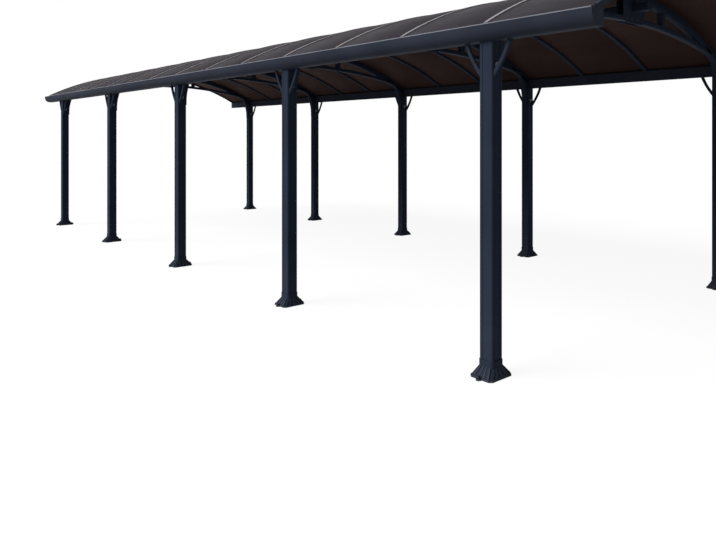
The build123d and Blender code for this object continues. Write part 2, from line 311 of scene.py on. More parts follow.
def span(nodes, links, factor, low, high, from_low=0.0, from_high=1.0):
    """Lead a factor from one number to another."""
    spread = nodes.new("ShaderNodeMapRange")
    spread.inputs["From Min"].default_value = from_low
    spread.inputs["From Max"].default_value = from_high
    spread.inputs["To Min"].default_value = low
    spread.inputs["To Max"].default_value = high
    links.new(factor, spread.inputs["Value"])
    return spread.outputs["Result"]


# %% [markdown]
# The helpers only make nodes and join them. The coat puts them together: first the tone, then the dust, the
# roughness and the peel. Every metal piece takes its finish from this one recipe, with other numbers.

# %% Mix the powder coat
FRAME_TONE = (0.0265, 0.0360, 0.0590)
DUST_TONE = (0.086, 0.094, 0.118)
DUST_SHARE = 0.32
DARKER, LIGHTER = 0.86, 1.16
ROUGHNESS_WANDER = 0.07
TONE_SCALE, DUST_SCALE, ROUGHNESS_SCALE = 2.4, 26.0, 9.0
PEEL_DEPTH = 0.0005


def dusted(nodes, links, colour, top):
    """Mix patchy dust over a colour, from the ground up to a height."""
    where = nodes.new("ShaderNodeTexCoord")
    split = nodes.new("ShaderNodeSeparateXYZ")
    links.new(where.outputs["Object"], split.inputs["Vector"])
    low_down = span(nodes, links, split.outputs["Z"], DUST_SHARE, 0.0, 0.0, top)
    patchy = nodes.new("ShaderNodeMath")
    patchy.operation = "MULTIPLY"
    links.new(low_down, patchy.inputs[0])
    links.new(noise(nodes, links, DUST_SCALE, 6.0), patchy.inputs[1])
    mix = nodes.new("ShaderNodeMix")
    mix.data_type = "RGBA"
    mix.inputs["B"].default_value = (*DUST_TONE, 1)
    links.new(patchy.outputs[0], mix.inputs["Factor"])
    links.new(colour, mix.inputs["A"])
    return mix.outputs["Result"]


def powder_coat(name, tone, roughness=0.56, peel_scale=620.0, peel=0.12, specular=0.02, dust_top=0.0):
    """A satin powder coat; with dust_top, dust fades out at that height."""
    finish = bpy.data.materials.new(name)
    finish.use_nodes = True
    nodes, links = finish.node_tree.nodes, finish.node_tree.links
    coat = nodes["Principled BSDF"]
    coat.inputs["Specular IOR Level"].default_value = specular
    darker = [part * DARKER for part in tone]
    lighter = [part * LIGHTER for part in tone]
    colour = ramp(nodes, links, noise(nodes, links, TONE_SCALE, 5.0), darker, lighter)
    if dust_top:
        colour = dusted(nodes, links, colour, dust_top)
    links.new(colour, coat.inputs["Base Color"])
    wander = noise(nodes, links, ROUGHNESS_SCALE, 4.0)
    uneven = span(nodes, links, wander, roughness - ROUGHNESS_WANDER, roughness + ROUGHNESS_WANDER)
    links.new(uneven, coat.inputs["Roughness"])
    bump = nodes.new("ShaderNodeBump")
    bump.inputs["Strength"].default_value = peel
    bump.inputs["Distance"].default_value = PEEL_DEPTH
    links.new(noise(nodes, links, peel_scale, 2.0), bump.inputs["Height"])
    links.new(bump.outputs["Normal"], coat.inputs["Normal"])
    return finish


post_finish = powder_coat("post_powder_coat", FRAME_TONE, dust_top=0.45)
print("finish:", post_finish.name)

# %% [markdown]
# ## The posts
# A post is a square extrusion with rounded corners. It could be a cube with a bevel modifier, but the bevel
# would round the cut ends as well, so a helper picks out the upright edges and bevels only those. Two more take
# the ends off a shape and fill them again.

# %% Helpers for blocks
def block(bm, low, high):
    """A plain block between two corners; gives back its vertices."""
    low, high = Vector(low), Vector(high)
    verts = bmesh.ops.create_cube(bm, size=1.0)["verts"]
    bmesh.ops.scale(bm, vec=high - low, verts=verts)
    bmesh.ops.translate(bm, vec=(low + high) / 2, verts=verts)
    return verts


def round_edges(bm, edges, offset, segments):
    """Bevel these edges to a round in so many steps."""
    bmesh.ops.bevel(
        bm, geom=edges, offset=offset, segments=segments, profile=0.5, affect="EDGES", material=-1
    )


def round_uprights(bm, verts, offset, segments=1):
    """Bevel only those edges of a block that run up it."""
    edges = dict.fromkeys(edge for vert in verts for edge in vert.link_edges)
    upright = [edge for edge in edges if abs(edge.verts[0].co.z - edge.verts[1].co.z) > 1e-4]
    round_edges(bm, upright, offset, segments)


def open_ends(bm):
    """Take off the level faces at the top and the bottom."""
    bm.normal_update()
    ends = [face for face in bm.faces if abs(face.normal.z) > 0.99]
    bmesh.ops.delete(bm, geom=ends, context="FACES_ONLY")


def fill_ends(bm):
    """Close every open border with a face."""
    bmesh.ops.holes_fill(bm, edges=[edge for edge in bm.edges if edge.is_boundary], sides=0)


# %% [markdown]
# A narrow bead runs along each corner of a post and the face between two beads is set back, which stiffens
# the wall. Each wide face is inset twice for that: once level, for the bead, and once with a drop, for the
# step. The ends are off meanwhile, because an inset leaves open borders alone: so the beads run out at both
# ends, as they do on an extrusion that is cut to length.

# %% Model the posts
POST_CORNER, CORNER_STEPS = 0.012, 5
POST_BEAD = 0.010
POST_STEP = 0.002
POST_SINK = 0.003

for side in ("front", "back"):
    for number in NUMBERS:
        name = f"{side}_post_{number}"
        bm = bmesh.new()
        round_uprights(bm, block(bm, *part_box(name)), POST_CORNER, CORNER_STEPS)
        open_ends(bm)
        wide = [face for face in bm.faces if face.calc_area() > eave * post_side / 2]
        for width, drop in ((POST_BEAD, 0.0), (POST_STEP, -POST_SINK)):
            bmesh.ops.inset_region(bm, faces=wide, thickness=width, depth=drop, use_even_offset=True)
        fill_ends(bm)
        make_piece(name, bm, [post_finish], "frame", name)

# %% [markdown]
# ## The feet
# Each post stands in a cast foot: a thin sleeve round the post, a skirt that flares out to a lipped plate, and
# two ears for the anchors. Its four sides are flanges with a notch between them, and three fan ribs run down
# each. A boolean could cut the notches, but a few operators keep the mesh clean: a block is narrowed at its
# top, its corner edges are bevelled and sunk, its sides are cut into strips, and every third strip is raised.

# %% Model the skirt of a foot
FOOT_PLATE, FOOT_SKIRT, FOOT_HEIGHT = 0.012, 0.066, 0.102
FOOT_COLLAR, FOOT_LIP, FOOT_NOTCH = 0.004, 0.005, 0.012
FLARE_ALONG, FLARE_ACROSS = 0.024, 0.048
NOTCH_RIM, NOTCH_SINK = 0.002, 0.004
STRIPS_A_SIDE = 11
RIB_PROUD, RIB_DRAFT = 0.0035, 0.001
FACING, SLANT = 0.72, 0.1
# The index of the paler coat: a painted highlight on the crests of the ribs, also given to the plate.
PAINTED_HIGHLIGHT = 1

sleeve = post_side / 2 + FOOT_COLLAR
toe_x, toe_y = sleeve + FLARE_ALONG, sleeve + FLARE_ACROSS


def foot_skirt(bm):
    """The flared skirt, with sunk notches at its corners and sides cut into strips."""
    skirt = block(bm, (-toe_x, -toe_y, FOOT_PLATE), (toe_x, toe_y, FOOT_SKIRT))
    top = [vert for vert in skirt if vert.co.z > (FOOT_PLATE + FOOT_SKIRT) / 2]
    bmesh.ops.scale(bm, vec=(sleeve / toe_x, sleeve / toe_y, 1), verts=top)
    open_ends(bm)
    round_uprights(bm, bm.verts[:], FOOT_NOTCH)
    narrow = 1.5 * FOOT_NOTCH * FOOT_HEIGHT
    notches = [face for face in bm.faces if face.calc_area() < narrow]
    bmesh.ops.inset_individual(
        bm, faces=notches, thickness=NOTCH_RIM, depth=-NOTCH_SINK, use_even_offset=True
    )
    long_edges = [edge for edge in bm.edges if edge.calc_length() > sleeve]
    level = [edge for edge in long_edges if abs(edge.verts[0].co.z - edge.verts[1].co.z) < 1e-4]
    bmesh.ops.subdivide_edges(bm, edges=level, cuts=STRIPS_A_SIDE - 1, use_grid_fill=True)


def raise_ribs(bm):
    """Raise every third strip of the four sides and give its crest the paler coat of a painted highlight."""
    bm.normal_update()
    for axis, across in ((0, 1), (1, 0)):
        for sign in (-1, 1):
            side = [face for face in bm.faces if sign * face.normal[axis] > FACING and len(face.verts) == 4]
            side = [face for face in side if abs(face.normal[across]) < SLANT]
            side.sort(key=lambda face: face.calc_center_median()[across])
            crests = side[2::3]
            bmesh.ops.inset_individual(
                bm, faces=crests, thickness=RIB_DRAFT, depth=RIB_PROUD, use_even_offset=True
            )
            for face in crests:
                face.material_index = PAINTED_HIGHLIGHT


foot = bmesh.new()
foot_skirt(foot)
raise_ribs(foot)
fill_ends(foot)
print("skirt of a foot:", len(foot.faces), "faces")

# %% [markdown]
# The rest of a foot is three kinds of block. The sleeve is rounded like the post it wraps, the plate has its
# corners cut where the skirt has its notches, and an ear is a short strap with a round end.

# %% Add the sleeve, the plate and the ears
EAR_REACH, EAR_RADIUS, EAR_THICKNESS = 0.014, 0.016, 0.011
EAR_ROUND, EAR_STEPS = 0.99 * EAR_RADIUS, 8
PLATE_CORNER = 1.5 * FOOT_NOTCH
ear_y = toe_y + EAR_REACH

wrap = block(foot, (-sleeve, -sleeve, FOOT_PLATE), (sleeve, sleeve, FOOT_HEIGHT))
round_uprights(foot, wrap, POST_CORNER + FOOT_COLLAR, CORNER_STEPS)
plate_x, plate_y = toe_x + FOOT_LIP, toe_y + FOOT_LIP
plate = block(foot, (-plate_x, -plate_y, 0), (plate_x, plate_y, FOOT_PLATE))
round_uprights(foot, plate, PLATE_CORNER)
ear = bmesh.new()
strap = block(ear, (-EAR_RADIUS, toe_y, 0), (EAR_RADIUS, ear_y + EAR_RADIUS, EAR_THICKNESS))
round_uprights(ear, [vert for vert in strap if vert.co.y > ear_y], EAR_ROUND, EAR_STEPS)
add_copies(foot, ear, [Matrix(), MIRROR_ACROSS])
# The plate's faces take the paler coat of the painted highlight too.
for face in foot.faces:
    if face.calc_center_median().z < FOOT_PLATE + 1e-4:
        face.material_index = PAINTED_HIGHLIGHT
print("one foot:", len(foot.faces), "faces")

# %% [markdown]
# One finished foot is copied to the five places of the front row, and the row is mirrored for the back. A
# casting has a coarser skin than an extrusion, so its coat has a coarser peel. The crests of the ribs take a
# paler coat, a painted highlight of the light that falls on them from above, and the plate takes the same coat.

# %% Set the feet in two rows
# A paler tone: painted highlight on the crests and the plate.
PAINTED_HIGHLIGHT_TONE = (0.060, 0.070, 0.098)
CAST_SKIN = {"peel_scale": 380.0, "peel": 0.25, "dust_top": 0.13}
foot_finish = powder_coat("cast_foot_coat", FRAME_TONE, roughness=0.55, **CAST_SKIN)
foot_highlight_finish = powder_coat("foot_painted_highlight_coat", PAINTED_HIGHLIGHT_TONE, roughness=0.6, **CAST_SKIN)
front_row = [Matrix.Translation((place, -row, 0)) for place in post_places]
feet = bmesh.new()
add_copies(feet, foot, front_row)
make_rows("feet", feet, [foot_finish, foot_highlight_finish], "feet")

# %% [markdown]
# ## The anchor bolts
# Two bolts hold a foot to its footing. They are small, so each has only what shows: a washer, a hexagon nut
# and the end of the stud. Three short cylinders of 24, 6 and 16 sides make them, with the nut's top bevelled.

# %% Model the anchor bolts
WASHER_RADIUS, WASHER_THICKNESS = 0.0110, 0.0025
NUT_RADIUS, NUT_HEIGHT, NUT_BEVEL = 0.0092, 0.0080, 0.0012
STUD_RADIUS, STUD_START, STUD_END = 0.0048, 0.010, 0.017
BOLT_TONE = (0.012, 0.013, 0.016)
BOLT_SKIN = {"peel_scale": 900.0, "peel": 0.1, "specular": 0.3}
bolt_finish = powder_coat("dark_bolt_coat", BOLT_TONE, roughness=0.34, **BOLT_SKIN)


def disc(bm, radius, low, high, segments):
    """An upright cylinder between two heights; gives back its vertices."""
    return bmesh.ops.create_cone(
        bm,
        cap_ends=True,
        segments=segments,
        radius1=radius,
        radius2=radius,
        depth=high - low,
        matrix=Matrix.Translation((0, 0, (low + high) / 2)),
    )["verts"]


bolt = bmesh.new()
nut_low = FOOT_PLATE + WASHER_THICKNESS
nut_high = nut_low + NUT_HEIGHT
disc(bolt, WASHER_RADIUS, FOOT_PLATE, nut_low, 24)
nut = disc(bolt, NUT_RADIUS, nut_low, nut_high, 6)
nut_top = [vert for vert in nut if vert.co.z > (nut_low + nut_high) / 2]
rim = [edge for edge in bolt.edges if all(vert in nut_top for vert in edge.verts)]
round_edges(bolt, rim, NUT_BEVEL, 1)
disc(bolt, STUD_RADIUS, FOOT_PLATE + STUD_START, FOOT_PLATE + STUD_END, 16)
ears = [Matrix.Translation((0, sign * ear_y, 0)) for sign in (-1, 1)]
bolts = bmesh.new()
add_copies(bolts, bolt, [place @ spot for place in front_row for spot in ears])
make_rows("anchor_bolts", bolts, [bolt_finish], "feet", has_part=False)

# %% [markdown]
# ## The gutters
# The gutter is the eave beam too: an open channel with a tall round nose and a lip turned in along its top.
# Its section is a line, so it starts as one vertex. A spin turns that vertex round the nose, two runs of
# extruded vertices carry the line up to the lip and back to the rear wall, and the whole line is then drawn
# along the carport and given its wall.

# %% Draw the gutter's line
GUTTER_WIDTH, GUTTER_HEIGHT, GUTTER_WALL = 0.115, 0.095, 0.003
NOSE_RADIUS, NOSE_STEPS = 0.070, 12
GUTTER_LIP, LIP_RETURN = 0.010, 0.006
gutter_low, gutter_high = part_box("front_gutter")
lip_z = gutter_low.z + GUTTER_HEIGHT


def run_on(bm, vert, *points):
    """Draw a line on from a vertex through these points across the carport."""
    for y, z in points:
        new = bmesh.ops.extrude_vert_indiv(bm, verts=[vert])["verts"][0]
        new.co = (vert.co.x, y, z)
        vert = new
    return vert


def gutter_line(x, lip_drop):
    """The line of the front gutter at x, from the top of its rear wall round to its lip."""
    bm = bmesh.new()
    under = bm.verts.new((x, gutter_low.y + NOSE_RADIUS, gutter_low.z))
    turned = bmesh.ops.spin(
        bm,
        geom=[under],
        cent=(x, gutter_low.y + NOSE_RADIUS, gutter_low.z + NOSE_RADIUS),
        axis=(1, 0, 0),
        angle=-math.pi / 2,
        steps=NOSE_STEPS,
    )["geom_last"]
    front = next(part for part in turned if isinstance(part, bmesh.types.BMVert))
    lip = run_on(bm, front, (gutter_low.y, lip_z), (gutter_low.y + GUTTER_LIP, lip_z))
    if lip_drop:
        run_on(bm, lip, (lip.co.y, lip.co.z - lip_drop))
    run_on(bm, under, (gutter_high.y, gutter_low.z), (gutter_high.y, gutter_high.z))
    return bm


line = gutter_line(gutter_low.x, LIP_RETURN)
print("gutter line:", len(line.verts), "vertices, lowest", round(min(v.co.z for v in line.verts), 3))

# %% [markdown]
# The line becomes a channel when its edges are extruded along the carport. The thickness comes last, after
# the normals are made to agree, because the wall is laid on along them. The coat is the frame's own recipe in
# a slightly greyer tone.

# %% Draw the gutters along the carport
GUTTER_TONE = (0.034, 0.040, 0.058)
gutter_finish = powder_coat("gutter_coat", GUTTER_TONE, roughness=0.58, peel=0.1)


def move_new(bm, made, vec):
    """Move the vertices among what an operator has made."""
    verts = [part for part in made if isinstance(part, bmesh.types.BMVert)]
    bmesh.ops.translate(bm, vec=vec, verts=verts)


def draw_along(bm, length):
    """Extrude a line of edges along the carport."""
    made = bmesh.ops.extrude_edge_only(bm, edges=bm.edges[:])["geom"]
    move_new(bm, made, (length, 0, 0))


gutter_length = gutter_high.x - gutter_low.x
draw_along(line, gutter_length)
bmesh.ops.recalc_face_normals(line, faces=line.faces)
bmesh.ops.solidify(line, geom=line.faces[:], thickness=GUTTER_WALL)
make_rows("gutter", line, [gutter_finish], "gutter")

# %% [markdown]
# The lip's front edge is rolled, so that it is stiff and safe to touch. The roll carries a painted highlight:
# its pale tone stands for the light the edge catches, and shows as a thin pale line under the roof. It is a
# small circle, drawn along the same way as the gutter, in a glossier coat.

# %% Roll the gutters' front edges
ROLL_RADIUS, ROLL_PROUD, ROLL_SIDES = 0.0045, 0.001, 12
# The roll's pale tone is a painted highlight of the light that its edge catches.
ROLL_HIGHLIGHT_TONE = (0.26, 0.27, 0.31)
roll_highlight_finish = powder_coat("rolled_edge_painted_highlight_coat", ROLL_HIGHLIGHT_TONE, roughness=0.4, peel=0.1, specular=0.1)

roll = bmesh.new()
upright = Matrix.Rotation(math.pi / 2, 4, "Y")
bmesh.ops.create_circle(roll, segments=ROLL_SIDES, radius=ROLL_RADIUS, matrix=upright)
inside = ROLL_RADIUS - ROLL_PROUD
bmesh.ops.translate(roll, vec=(gutter_low.x, gutter_low.y + inside, lip_z - inside), verts=roll.verts)
draw_along(roll, gutter_length)
fill_ends(roll)
rolls = bmesh.new()
add_copies(rolls, roll, [Matrix(), MIRROR_ACROSS])
make_piece("gutter_rolled_edges", rolls, [roll_highlight_finish], "gutter")

# %% [markdown]
# ## The gutters' end caps
# A flat plate of the gutter's own outline closes each end. The same line is drawn again and closed with a
# face, which is then extruded to the cap's thickness, so cap and gutter can't drift apart.

# %% Model the end caps
END_CAP = 0.004
MIRROR_ALONG = Matrix.Scale(-1, 4, (1, 0, 0))


def thicken(bm, vec):
    """Extrude every face of a flat shape."""
    made = bmesh.ops.extrude_face_region(bm, geom=bm.faces[:])["geom"]
    move_new(bm, made, vec)


def loose_ends(bm):
    """The ends of open lines, the lowest first."""
    ends = [vert for vert in bm.verts if len(vert.link_edges) == 1]
    return sorted(ends, key=lambda vert: vert.co.z)


def end_cap():
    bm = gutter_line(gutter_high.x, 0.0)
    bm.edges.new(loose_ends(bm))
    bmesh.ops.contextual_create(bm, geom=bm.edges[:])
    thicken(bm, (END_CAP, 0, 0))
    return bm


caps = bmesh.new()
add_copies(caps, end_cap(), [Matrix(), MIRROR_ACROSS, MIRROR_ALONG, MIRROR_ALONG @ MIRROR_ACROSS])
make_piece("gutter_end_caps", caps, [gutter_finish], "gutter", "gutter_end_caps")

# %% [markdown]
# ## Drawing an arch
# Ribs, sheets and chords are all straight bars bent to a circle. The easiest way to a clean arch is to draw
# the bar's section once, where it stands at the crown, turn it back to the start of the arch and spin it
# through to the other end. The helpers do that, and the pieces only differ in their sections.

# %% Helpers for arches
def bar_section(bm, width, depth, top_radius, centre, corner):
    """A rounded rectangle at the crown, across the bar, with its top at this radius."""
    verts = bmesh.ops.create_grid(bm, x_segments=1, y_segments=1, size=0.5)["verts"]
    bmesh.ops.scale(bm, vec=(width, depth, 1), verts=verts)
    bmesh.ops.rotate(bm, cent=(0, 0, 0), matrix=Matrix.Rotation(math.pi / 2, 3, "X"), verts=verts)
    bmesh.ops.translate(bm, vec=(0, 0, centre + top_radius - depth / 2), verts=verts)
    bmesh.ops.bevel(
        bm, geom=verts, offset=corner, segments=2, profile=0.5, affect="VERTICES", material=-1
    )


def outline_section(bm, points, centre):
    """A section at the crown, given by its outline as x and radius."""
    bm.faces.new([bm.verts.new((x, 0, centre + radius)) for x, radius in points])


def swing(bm, centre, start, end, steps):
    """Turn what is drawn at the crown back to one angle and spin it on to another."""
    pivot = (0, 0, centre)
    bmesh.ops.rotate(bm, cent=pivot, matrix=Matrix.Rotation(start, 3, "X"), verts=bm.verts)
    everything = bm.verts[:] + bm.edges[:] + bm.faces[:]
    bmesh.ops.spin(bm, geom=everything, cent=pivot, axis=(1, 0, 0), angle=end - start, steps=steps)


# %% [markdown]
# ## The trusses
# A truss is a slim lens: an upper chord that follows the roof, a flatter lower chord that meets it near the
# posts, and a few short uprights between them. Both chords are rectangular tubes, spun about two different
# centres. The lower one's radius comes from the gap at the crown and the place where the chords meet.

# %% Work out the chords
PLAY = 0.0003
RIB_FLANGE_DEPTH = 0.022
TRUSS_WIDTH = 0.050
UPPER_CHORD, LOWER_CHORD = 0.045, 0.040
CROWN_GAP = 0.125
CHORDS_MEET, CHORD_RUN_ON = 1.250, 0.200

rib_underside = arch_radius - PLAY - RIB_FLANGE_DEPTH
upper_top = rib_underside - PLAY
upper_under = upper_top - UPPER_CHORD


def arch_height(radius, y, centre=arch_centre):
    """The height of an arch at a distance from the middle of the carport."""
    return centre + math.sqrt(radius**2 - y**2)


lower_crown = arch_centre + upper_under - CROWN_GAP
lower_rise = lower_crown - arch_height(upper_under, CHORDS_MEET)
lower_radius = (CHORDS_MEET**2 + lower_rise**2) / (2 * lower_rise)
lower_centre = lower_crown - lower_radius
print("lower chord: crown", round(lower_crown, 3), "radius", round(lower_radius, 2))

# %% [markdown]
# The half truss is drawn for the back of the carport. A chord is swung from the crown outwards. The uprights
# are blocks that run a little way into both chords, so no gap can show where they meet.

# %% Helpers for chords and uprights
CROWN_JOINT = 0.004
TUBE_CORNER = 0.004
WEB_EDGE, WEB_SETBACK = 0.003, 0.002
truss_start = CROWN_JOINT / 2
truss_end = -gutter_low.y - GUTTER_WIDTH - PLAY
print("half truss: from", truss_start, "to", round(truss_end, 3))


def chord(depth, top_radius, centre, end_y, steps):
    """One chord of a half truss, from the crown out to end_y."""
    bm = bmesh.new()
    bar_section(bm, TRUSS_WIDTH, depth, top_radius, centre, TUBE_CORNER)
    start, end = (-math.asin(y / top_radius) for y in (truss_start, end_y))
    swing(bm, centre, start, end, steps)
    return bm


def web(middle, width):
    """An upright that runs into both chords."""
    bm = bmesh.new()
    half = TRUSS_WIDTH / 2 - WEB_SETBACK
    foot_z = arch_height(lower_radius, middle, lower_centre) - LOWER_CHORD / 2
    head_z = arch_height(upper_under, middle) + UPPER_CHORD / 2
    block(bm, (-half, middle - width / 2, foot_z), (half, middle + width / 2, head_z))
    round_edges(bm, bm.edges[:], WEB_EDGE, 2)
    return bm


# %% [markdown]
# The end block is a five-cornered plate, drawn flat and extruded, which carries the upper chord over the head
# of the post. It completes the half truss.

# %% Helpers for plates and the half truss
UPPER_STEPS, LOWER_STEPS = 22, 18
CROWN_POST = 0.060
WEB_PLACE, WEB_WIDTH = 0.510, 0.056
KNEE_REACH = 0.095
BLOCK_EDGE = 0.002
post_inner = row - post_side / 2
knee_head = post_inner - KNEE_REACH
print("post's inner face at", round(post_inner, 3), "head of the knee at", round(knee_head, 3))


def flat_plate(points, thickness):
    """A plate drawn across the carport, extruded along it to both sides."""
    bm = bmesh.new()
    bm.faces.new([bm.verts.new((-thickness / 2, y, z)) for y, z in points])
    thicken(bm, (thickness, 0, 0))
    return bm


def end_block():
    """The plate that carries the upper chord over the head of the post."""
    corners = [
        (knee_head, arch_height(upper_under, knee_head)),
        (post_inner, eave),
        (truss_end, eave),
        (truss_end, arch_height(upper_top, truss_end) - UPPER_CHORD / 2),
        (knee_head, arch_height(upper_top, knee_head) - UPPER_CHORD / 2),
    ]
    bm = flat_plate(corners, TRUSS_WIDTH)
    round_edges(bm, bm.edges[:], BLOCK_EDGE, 2)
    return bm


def truss_half():
    bm = bmesh.new()
    add_copies(bm, chord(UPPER_CHORD, upper_top, arch_centre, truss_end, UPPER_STEPS))
    lower_end = CHORDS_MEET + CHORD_RUN_ON
    add_copies(bm, chord(LOWER_CHORD, lower_radius, lower_centre, lower_end, LOWER_STEPS))
    add_copies(bm, web(truss_start + CROWN_POST / 2, CROWN_POST))
    add_copies(bm, web(WEB_PLACE, WEB_WIDTH))
    add_copies(bm, end_block())
    return bm


# %% [markdown]
# A whole truss is the half and its mirror image, with a narrow joint left open at the crown. One stands over
# each pair of posts.

# %% Set the trusses over the posts
truss_finish = powder_coat("truss_coat", FRAME_TONE)
for number, place in zip(NUMBERS, post_places):
    truss = bmesh.new()
    here = Matrix.Translation((place, 0, 0))
    add_copies(truss, truss_half(), [here, here @ MIRROR_ACROSS])
    make_piece(f"truss_{number}", truss, [truss_finish], "frame", f"truss_{number}")

# %% [markdown]
# ## The splice plates
# The two halves of a truss meet at the crown under a pair of plates with cut corners, bolted through. A plate
# is a flat rectangle, extruded, whose four short edges are bevelled in one step.

# %% Model the splice plates
SPLICE_LENGTH, SPLICE_THICKNESS, SPLICE_CORNER, SPLICE_DROP = 0.330, 0.004, 0.045, 0.012
splice_top = arch_centre + upper_under + UPPER_CHORD / 2
splice_bottom = lower_crown - LOWER_CHORD - SPLICE_DROP


def splice_plate():
    half = SPLICE_LENGTH / 2
    corners = [(-half, splice_bottom), (half, splice_bottom), (half, splice_top), (-half, splice_top)]
    bm = flat_plate(corners, SPLICE_THICKNESS)
    short = [edge for edge in bm.edges if edge.calc_length() < 2 * SPLICE_THICKNESS]
    round_edges(bm, short, SPLICE_CORNER, 1)
    return bm


plate_side = (TRUSS_WIDTH + SPLICE_THICKNESS) / 2
plate_moves = [
    Matrix.Translation((place + side * plate_side, 0, 0)) for place in post_places for side in (-1, 1)
]
plates = bmesh.new()
add_copies(plates, splice_plate(), plate_moves)
make_piece("truss_splice_plates", plates, [truss_finish], "frame", "truss_splice_plates")

# %% [markdown]
# ## Bolt heads
# The frame is held by low round bolt heads, each on a thin washer. A head is half of a flattened ball on a
# disc, drawn to point along the carport, so that a half turn is all it needs to look the other way.

# %% Helpers for bolt heads
HEAD_FLATTENED = 0.5
HEAD_WASHER, HEAD_WASHER_THICKNESS = 1.35, 0.0022


def bolt_head(radius):
    """Half of a flattened ball on a washer, pointing along the carport."""
    bm = bmesh.new()
    ball = bmesh.ops.create_uvsphere(bm, u_segments=16, v_segments=8, radius=radius)["verts"]
    bmesh.ops.scale(bm, vec=(1, 1, HEAD_FLATTENED), verts=ball)
    below = [vert for vert in ball if vert.co.z < -radius / 100]
    bmesh.ops.delete(bm, geom=below, context="VERTS")
    fill_ends(bm)
    disc(bm, radius * HEAD_WASHER, 0.0, HEAD_WASHER_THICKNESS, 20)
    along = Matrix.Rotation(math.pi / 2, 3, "Y")
    bmesh.ops.rotate(bm, cent=(0, 0, 0), matrix=along, verts=bm.verts)
    return bm


def on_side(x, y, z, side):
    """A place on a face that looks along the carport, to the right or to the left."""
    turn = Matrix() if side > 0 else Matrix.Rotation(math.pi, 4, "Z")
    return Matrix.Translation((x, y, z)) @ turn


def bolt_heads(radius, face, spots):
    """Heads on both sides of every post or truss; face is how far that side is from its middle."""
    bm = bmesh.new()
    moves = [
        on_side(place + side * face, y, z, side)
        for place in post_places
        for side in (-1, 1)
        for y, z in spots
    ]
    add_copies(bm, bolt_head(radius), moves)
    return bm


# %% [markdown]
# A large head sits on both sides of every post, a little above the foot of the braces: zinc, toned paler still
# as a painted highlight of the light on its top. Small dark ones sit in two lines of four on the splice plates,
# one line to each chord.

# %% Set the bolt heads
POST_BOLT, POST_BOLT_DROP = 0.014, 0.140
# Zinc, with a paler tone as a painted highlight of the light on the head's top.
ZINC_HIGHLIGHT_TONE = (0.26, 0.26, 0.27)
zinc_highlight_finish = powder_coat("zinc_bolt_painted_highlight_coat", ZINC_HIGHLIGHT_TONE, roughness=0.42, **BOLT_SKIN)
post_spots = [(y, eave - POST_BOLT_DROP) for y in (-row, row)]
post_bolts = bolt_heads(POST_BOLT, post_side / 2 - POST_SINK, post_spots)
make_piece("post_bolt_heads", post_bolts, [zinc_highlight_finish], "frame")

SPLICE_BOLT, SPLICE_BOLT_PLACES = 0.008, (-0.115, -0.04, 0.04, 0.115)
lower_bolts = lower_crown - LOWER_CHORD / 2
upper_bolts = arch_centre + upper_under + UPPER_CHORD * 0.2
splice_spots = [(y, z) for y in SPLICE_BOLT_PLACES for z in (lower_bolts, upper_bolts)]
splice_bolts = bolt_heads(SPLICE_BOLT, plate_side + SPLICE_THICKNESS / 2, splice_spots)
make_piece("splice_bolt_heads", splice_bolts, [bolt_finish], "frame")

# %% [markdown]
# ## The knee brackets
# A haunch with a hollow curve leads each truss into its post. The curve is an arc given by its ends and by how
# far it bows, as a draughtsman would give it, and a spin draws it from a single vertex. The outline is then
# closed and extruded.

# %% Helpers for curved outlines
def bowed(bm, start, end, bow, steps=10):
    """Spin a vertex along an arc from start to end; a positive bow is to the left."""
    start, end = Vector(start), Vector(end)
    chord_line = end - start
    axis = Vector((1, 0, 0)) if abs(chord_line.x) < 1e-9 else Vector((0, -1, 0))
    left = axis.cross(chord_line).normalized()
    radius = (chord_line.length_squared / 4 + bow**2) / (2 * abs(bow))
    centre = (start + end) / 2 - left * math.copysign(radius - abs(bow), bow)
    turn = math.copysign(2 * math.asin(chord_line.length / 2 / radius), -bow)
    first = bm.verts.new(start)
    bmesh.ops.spin(bm, geom=[first], cent=centre, axis=axis, angle=turn, steps=steps)


def close_outline(bm, width, along):
    """Close an outline of edges with a face and extrude it to a width."""
    bmesh.ops.remove_doubles(bm, verts=bm.verts, dist=1e-5)
    bmesh.ops.contextual_create(bm, geom=bm.edges[:])
    thicken(bm, Vector(along) * width)
    bmesh.ops.translate(bm, vec=Vector(along) * (-width / 2), verts=bm.verts)


# %% [markdown]
# The bracket's outline is the arc, a short toe at its foot and the face of the post. The part's own box shows
# whether it came out where the part stands.

# %% Model the knee brackets
KNEE_DROP, KNEE_TOE, KNEE_WIDTH, KNEE_HOLLOW = 0.220, 0.012, 0.060, 0.026


def knee_bracket():
    bm = bmesh.new()
    head = (0, knee_head, arch_height(upper_under, knee_head))
    toe = (0, post_inner - KNEE_TOE, eave - KNEE_DROP)
    bowed(bm, head, toe, KNEE_HOLLOW)
    low_end, high_end = loose_ends(bm)
    last = run_on(bm, low_end, (post_inner, eave - KNEE_DROP), (post_inner, eave))
    bm.edges.new((last, high_end))
    close_outline(bm, KNEE_WIDTH, (1, 0, 0))
    return bm


knee_low, knee_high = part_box("back_knee_brackets")
knees = bmesh.new()
add_copies(knees, knee_bracket(), [Matrix.Translation((place, 0, 0)) for place in post_places])
knee_reach = [round(pick(vert.co.y for vert in knees.verts), 3) for pick in (min, max)]
print("knees from and to", knee_reach, "part", round(knee_low.y, 3), round(knee_high.y, 3))
make_rows("knee_brackets", knees, [truss_finish], "frame", sides=("back", "front"))

# %% [markdown]
# ## The gutter braces
# Two slender curved arms spring from the outer edge of each post and carry the gutter on both sides of it. An
# arm is a strap between two arcs of the same bow, wider at its foot than at its head.

# %% Model the gutter braces
BRACE_DROP, BRACE_REACH, BRACE_FOOT, BRACE_HEAD = 0.208, 0.122, 0.038, 0.025
BRACE_DEPTH, BRACE_BOW, BRACE_INSET = 0.020, 0.009, 0.012


